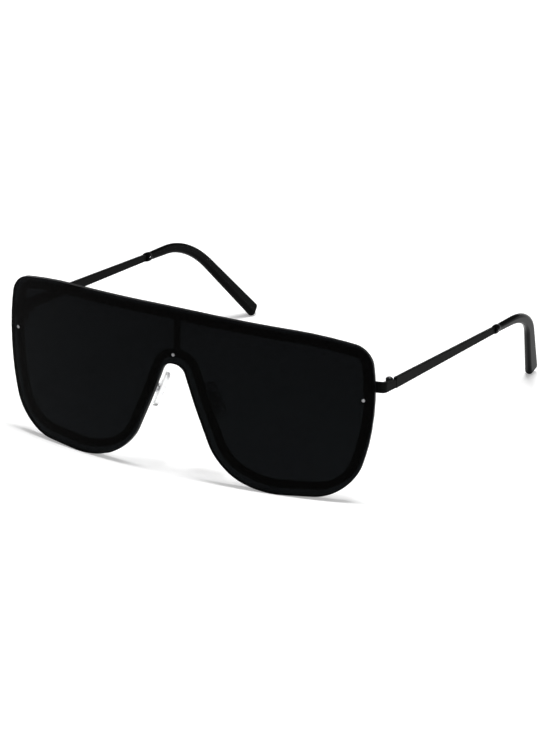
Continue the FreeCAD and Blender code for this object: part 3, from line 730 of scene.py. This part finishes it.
# %% The line and the rings of an ear tip
TIP_STRAIGHT, TIP_BEND_RADIUS, TIP_BEND, TIP_DROP = 12.4, 28.0, math.radians(50), 27.6
TIP_LENGTH = TIP_STRAIGHT + TIP_BEND_RADIUS * TIP_BEND + TIP_DROP
MOUTH_LENGTH, MOUTH_SWELL, MOUTH_LIP = 2.8, 0.45, 0.15
MOUTH_RISE, MOUTH_SPAN = 1.1, 1.02
RUN_START = MOUTH_LENGTH * 1.06
TIP_CAP, QUARTER_TURN_STEPS = 0.96, 8.6
MOUTH_RINGS, RUN_RINGS, CAP_RINGS = 8, 44, 8


def along_tip(distance):
    """The point and the downward turn at a distance along the tip's middle line."""
    turn = min(max(distance - TIP_STRAIGHT, 0) / TIP_BEND_RADIUS, TIP_BEND)
    straight = min(distance, TIP_STRAIGHT)
    drop = max(distance - TIP_STRAIGHT - TIP_BEND_RADIUS * TIP_BEND, 0)
    back = straight + TIP_BEND_RADIUS * math.sin(turn) + drop * math.cos(turn)
    fall = TIP_BEND_RADIUS * (1 - math.cos(turn)) + drop * math.sin(turn)
    return Vector((0, back, -fall)), turn


def tip_rings():
    """Distance and growth of each ring: the mouth's swelling, the long run, and the rounded cap.

    The cap stops a little short of a quarter turn, and a flat face closes it there.
    """
    for i in range(MOUTH_RINGS + 1):
        share = i / MOUTH_RINGS
        swell = MOUTH_LIP + MOUTH_RISE * math.sin(math.pi * min(1, share * MOUTH_SPAN))
        yield MOUTH_LENGTH * share, MOUTH_SWELL * min(1, swell)
    yield RUN_START, 0
    for i in range(1, RUN_RINGS + 1):
        yield RUN_START + (TIP_LENGTH - RUN_START) * i / RUN_RINGS, 0
    for i in range(1, CAP_RINGS + 1):
        lean = math.radians(90) * i / QUARTER_TURN_STEPS
        yield TIP_LENGTH + TIP_CAP * math.sin(lean), -2 * TIP_CAP * (1 - math.cos(lean))


print("tip length in mm:", round(TIP_LENGTH + TIP_CAP, 1), "rings:", len(list(tip_rings())))

# %% [markdown]
# The ear tips themselves. A curve with a bevel could follow that line, but its section would grow by the
# same share in width and in thickness, and a tip's doesn't. So a ring of points is extruded from station to
# station. Each point keeps its own angle round the ring as a number in a layer, and every new ring is given
# its own width and thickness: a bar with round corners, which grows towards the end.

# %% The ear tips
TIP_WIDTHS, TIP_THICKNESSES, TIP_CORNER = (2.75, 5.09), (2.1, 2.9), 0.44
RING_POINTS = 40


def between(ends, share):
    return ends[0] + (ends[1] - ends[0]) * share


def shape_ring(ring, angle_of, distance, growth):
    share = min(distance / TIP_LENGTH, 1)
    half_wide = (between(TIP_WIDTHS, share) + growth) / 2
    half_thick = (between(TIP_THICKNESSES, share) + growth) / 2
    corner = 2 * half_thick * TIP_CORNER
    middle, turn = along_tip(distance)
    upward = Vector((0, math.sin(turn), math.cos(turn)))
    for vert in ring:
        out, rise = math.cos(vert[angle_of]), math.sin(vert[angle_of])
        across = math.copysign(half_thick - corner, out) + corner * out
        height = math.copysign(half_wide - corner, rise) + corner * rise
        vert.co = middle + Vector((across, 0, 0)) + upward * height


def make_ear_tips():
    bm = bmesh.new()
    angle_of = bm.verts.layers.float.new("angle")
    ring = bmesh.ops.create_circle(bm, segments=RING_POINTS, radius=1)["verts"]
    for vert in ring:
        vert[angle_of] = math.atan2(vert.co.y, vert.co.x) + math.pi / RING_POINTS
    edges = bm.edges[:]
    first_edges = edges[:]
    for count, (distance, growth) in enumerate(tip_rings()):
        if count:
            made = bmesh.ops.extrude_edge_only(bm, edges=edges)["geom"]
            ring = only(bmesh.types.BMVert, made)
            edges = [e for e in only(bmesh.types.BMEdge, made) if all(v in ring for v in e.verts)]
        shape_ring(ring, angle_of, distance, growth)
    bmesh.ops.contextual_create(bm, geom=first_edges)
    bmesh.ops.contextual_create(bm, geom=edges)
    carry(bm, tip_start)
    make_pair("glossy_ear_tip", bm, [tip_plastic], "temple_left", "temple_tip_left")


make_ear_tips()

# %% [markdown]
# Screws. Each is a small cheese-head screw: a round base, two half-moons with a slot between them, and a
# shank. The slot could be cut by a Boolean, but two half-moons leave it open by themselves. A half-moon is
# a disc with its top edge rounded, cut by a plane and closed again. They overlap the base a little, so that
# no two faces lie in one plane.

# %% The shape of a slotted screw
DISC_POINTS, HEAD_STEPS = 48, 4
SLOT_SHARE, MOON_SHARE = 0.17, 0.985
SHANK_TOP, BASE_TOP, MOON_FOOT, MOON_ROUNDING = 0.3, 0.42, 0.2, 0.7


def disc(bm, radius, bottom, top, rounding=0.0, cut=None):
    """An upright disc with its top edge rounded, or the part of it beyond a cut."""
    others = set(bm.verts)
    foot = Matrix.Translation((0, 0, bottom))
    made = bmesh.ops.create_circle(bm, segments=DISC_POINTS, radius=radius, cap_ends=True, matrix=foot)
    faces = list({f for v in made["verts"] for f in v.link_faces})
    raised = bmesh.ops.extrude_face_region(bm, geom=faces, use_keep_orig=True)["geom"]
    bmesh.ops.translate(bm, vec=(0, 0, top - bottom), verts=only(bmesh.types.BMVert, raised))
    if rounding:
        round_edges(bm, only(bmesh.types.BMEdge, raised), rounding, HEAD_STEPS)
    if cut is not None:
        points = [v for v in bm.verts if v not in others]
        edges = {e for v in points for e in v.link_edges}
        faces = {f for v in points for f in v.link_faces}
        parts = [*points, *edges, *faces]
        inward = (0, -math.copysign(1, cut), 0)
        sliced = bmesh.ops.bisect_plane(bm, geom=parts, plane_co=(0, cut, 0), plane_no=inward,
                                        clear_outer=True)
        bmesh.ops.contextual_create(bm, geom=only(bmesh.types.BMEdge, sliced["geom_cut"]))


def slotted_screw(radius, length, head_radius, head_height, slot_turn):
    """A screw in mm along Z, its head standing on the origin's plane."""
    bm = bmesh.new()
    slot = head_radius * SLOT_SHARE
    disc(bm, radius, -length, head_height * SHANK_TOP)
    disc(bm, head_radius, 0, head_height * BASE_TOP)
    foot, rounding = head_height * MOON_FOOT, head_height * MOON_ROUNDING
    for side in (-slot, slot):
        disc(bm, head_radius * MOON_SHARE, foot, head_height, rounding, side)
    bmesh.ops.rotate(bm, cent=(0, 0, 0), matrix=Matrix.Rotation(slot_turn, 3, "Z"), verts=bm.verts)
    return bm


print("a slot takes", round(SLOT_SHARE * 100), "percent of a head's width")

# %% [markdown]
# There are three kinds of screws. Those of the lens stand square on its bend, those of the hinges stand
# upright in the barrels, and those of the pads lie across their boxes. They could be modelled one by one,
# but only their sizes differ, so one function makes them all. Nobody lines up the slots of real screws, so
# these are turned by various angles.

# %% The screws in their places
LENS_SCREW = {"radius": 0.4, "length": 3.05, "head_radius": 0.6, "head_height": 0.35}
HINGE_SCREW = {"radius": 0.5, "length": 3.0, "head_radius": 0.95, "head_height": 0.4}
PAD_SCREW = {"radius": 0.35, "length": 2.4, "head_radius": 0.6, "head_height": 0.35}
SLOT_TURNS = {"left": 0.5, "right": 1.2, "centre": 0.1, "hinge": 0.8, "pad": 0.3}
BARREL_TOP = 1.5
PAD_SCREW_PLACE = (1.2, 0.95, 0)


def make_lens_screws():
    for side, (across, height) in SCREW_PLACES.items():
        angle = math.degrees(math.asin(across / LENS_RADIUS))
        foot = (across, LENS_RADIUS * (1 - math.cos(math.radians(angle))), height)
        bm = slotted_screw(**LENS_SCREW, slot_turn=SLOT_TURNS[side])
        carry(bm, stance @ shift(*foot) @ spin_about("Z", angle) @ spin_about("X", 90))
        name, node = f"slotted_lens_screw_{side}", f"lens_screw_{side}"
        make_piece(name, bm, [dull_steel], "front", node)


def make_hinge_screws():
    bm = slotted_screw(**HINGE_SCREW, slot_turn=SLOT_TURNS["hinge"])
    carry(bm, hinge @ shift(0, 0, BARREL_TOP))
    make_pair("slotted_hinge_screw", bm, [oiled_steel], "front", "hinge_screw_left")


def make_pad_screws():
    bm = slotted_screw(**PAD_SCREW, slot_turn=SLOT_TURNS["pad"])
    carry(bm, pad @ shift(*PAD_SCREW_PLACE) @ spin_about("Y", 90))
    make_pair("slotted_pad_screw", bm, [turned_steel], "front", "pad_screw_left")


make_lens_screws()
make_hinge_screws()
make_pad_screws()

# %% [markdown]
# Nose pads. A pad is a clear rounded plate of solid silicone, narrower at its top, moulded on the insert. A
# flattened ball would come close, but its back would be round, and a pad's is flat. So it starts from four
# corners, each rounded by a bevel, and gets its thickness and soft edges. A pocket in its back holds the
# insert: it is a shade smaller than the insert's plate, as silicone that was poured round it grips it.

# %% The nose pads
PAD_BACK, PAD_THICKNESS = 1.9, 1.8
PAD_CORNERS = [(2.592, 6.5, 2.16), (3.6, -6.5, 3.168), (-3.6, -6.5, 3.168), (-2.592, 6.5, 2.16)]
PAD_CORNER_STEPS = 14
SKIN_EDGE, SKIN_STEPS = 0.8, 6
BACK_EDGE, BACK_STEPS = 0.3, 3
POCKET_HALF_WIDTH, POCKET_HALF_LENGTH, POCKET_DEPTH = 1.25, 2.95, 0.45
BACK_LIMIT = -0.99


def make_pad_plate():
    """The plate in mm. Its back looks along -Y, and its soft side lies on the nose."""
    bm = bmesh.new()
    points = [bm.verts.new((x, PAD_BACK, z)) for x, z, _ in PAD_CORNERS]
    bm.faces.new(points)
    for (vert, before, after), (_, _, radius) in zip(corner_sides(points), PAD_CORNERS):
        round_corner(bm, vert, radius / math.tan(before.angle(after) / 2), PAD_CORNER_STEPS)
    made = bmesh.ops.extrude_face_region(bm, geom=bm.faces[:], use_keep_orig=True)["geom"]
    bmesh.ops.translate(bm, vec=(0, PAD_THICKNESS, 0), verts=only(bmesh.types.BMVert, made))
    bmesh.ops.recalc_face_normals(bm, faces=bm.faces)
    for way, edge, steps in ((1, SKIN_EDGE, SKIN_STEPS), (-1, BACK_EDGE, BACK_STEPS)):
        face = max(bm.faces, key=lambda f: f.normal.y * way * f.calc_area())
        round_edges(bm, face.edges[:], edge, steps)
    return bm


def back_faces(bm):
    return [f for f in bm.faces if f.normal.y < BACK_LIMIT]


def press_pocket(bm):
    for side in (-POCKET_HALF_WIDTH, POCKET_HALF_WIDTH):
        cut_across(bm, back_faces(bm), (side, 0, 0), (1, 0, 0))
    for side in (-POCKET_HALF_LENGTH, POCKET_HALF_LENGTH):
        cut_across(bm, back_faces(bm), (0, 0, side), (0, 0, 1))
    bed = min(back_faces(bm), key=lambda f: f.calc_center_bounds().length)
    pressed = bmesh.ops.extrude_face_region(bm, geom=[bed])["geom"]
    bmesh.ops.translate(bm, vec=(0, POCKET_DEPTH, 0), verts=only(bmesh.types.BMVert, pressed))
    bmesh.ops.delete(bm, geom=[bed], context="FACES_ONLY")


def make_nose_pads():
    bm = make_pad_plate()
    press_pocket(bm)
    carry(bm, pad)
    make_pair("clear_nose_pad", bm, [clear_silicone], "nose_pad_left", "nose_pad_left")


make_nose_pads()
